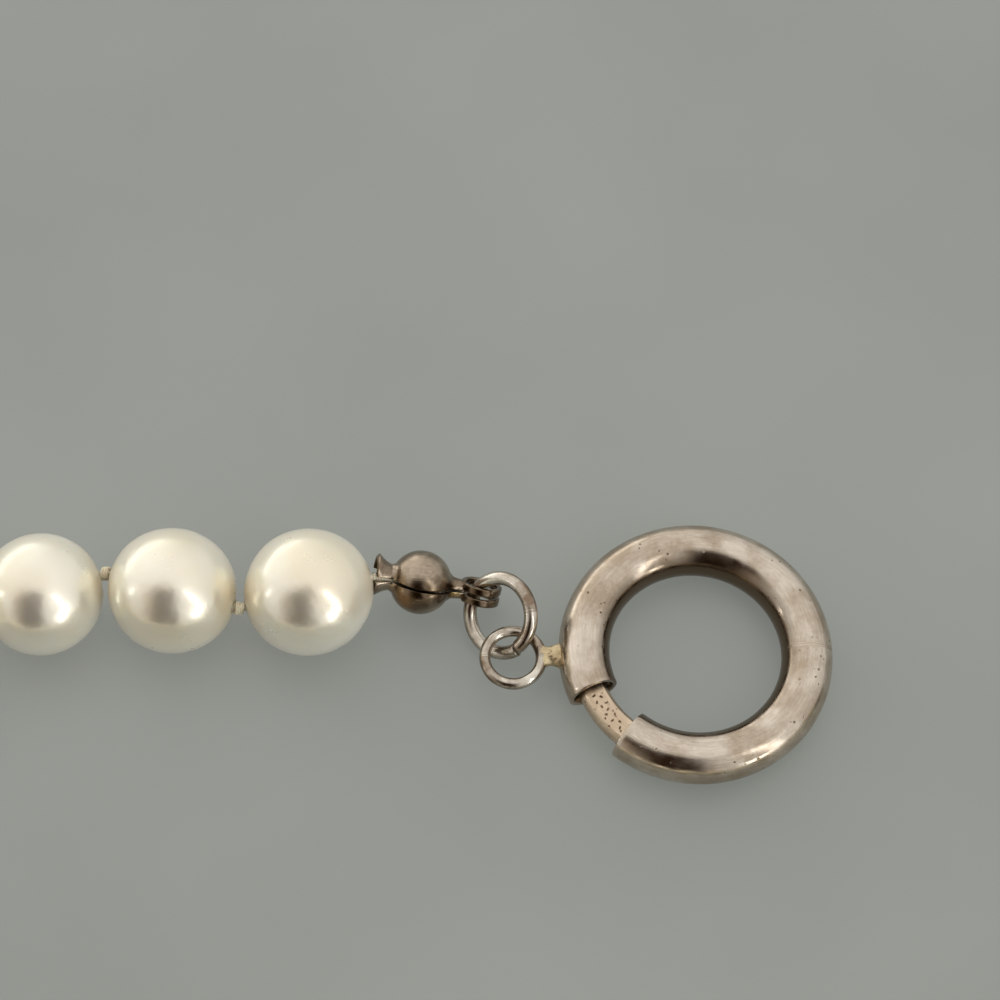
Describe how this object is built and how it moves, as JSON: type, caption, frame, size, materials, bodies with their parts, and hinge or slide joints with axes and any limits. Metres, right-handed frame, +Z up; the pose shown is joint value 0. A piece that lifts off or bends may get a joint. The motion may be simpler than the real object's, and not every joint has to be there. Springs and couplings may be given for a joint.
{
  "type": "pearl bracelet",
  "caption": "Bracelet of drilled pearls on knotted silk, laid as an open oval loop with its silver bolt ring clasp undone and a plain catch ring at the far end.",
  "frame": {"origin": "on the resting plane, under the middle of the laid loop's bounding box", "axes": "+Z up from the resting plane, +X along the oval's length, from the strand's clasp end towards its far end"},
  "size_m": [0.0904, 0.0404, 0.0071],
  "materials": {
    "nacre": "lustrous cream nacre",
    "silk": "cream silk twine",
    "dark_silver": "tarnished silver",
    "silver": "worn satin silver with warm tarnish",
    "gilt": "worn, faintly gilt"
  },
  "bodies": {
    "strand": {"pearl_01": "nacre", "pearl_02": "nacre", "pearl_03": "nacre", "pearl_04": "nacre", "pearl_05": "nacre", "pearl_06": "nacre", "pearl_07": "nacre", "pearl_08": "nacre", "pearl_09": "nacre", "pearl_10": "nacre", "pearl_11": "nacre", "pearl_12": "nacre", "pearl_13": "nacre", "pearl_14": "nacre", "pearl_15": "nacre", "pearl_16": "nacre", "pearl_17": "nacre", "pearl_18": "nacre", "pearl_19": "nacre", "pearl_20": "nacre", "silk_thread": "silk", "calotte_clasp_end": "dark_silver", "calotte_far_end": "dark_silver", "jump_ring": "silver", "catch_ring": "silver", "bolt_ring": "silver"},
    "bolt": {"bolt": "gilt"}
  },
  "joints": [
    {"name": "bolt_slide", "type": "hinge", "parent": "strand", "child": "bolt", "pos_m": [0.01044, 0.01268, 0.00167], "axis": [0.0389, 0.013, 0.9992], "range_deg": [-32, 0], "stiffness_Nm_per_rad": 0.0002, "springref_deg": 20.05}
  ]
}
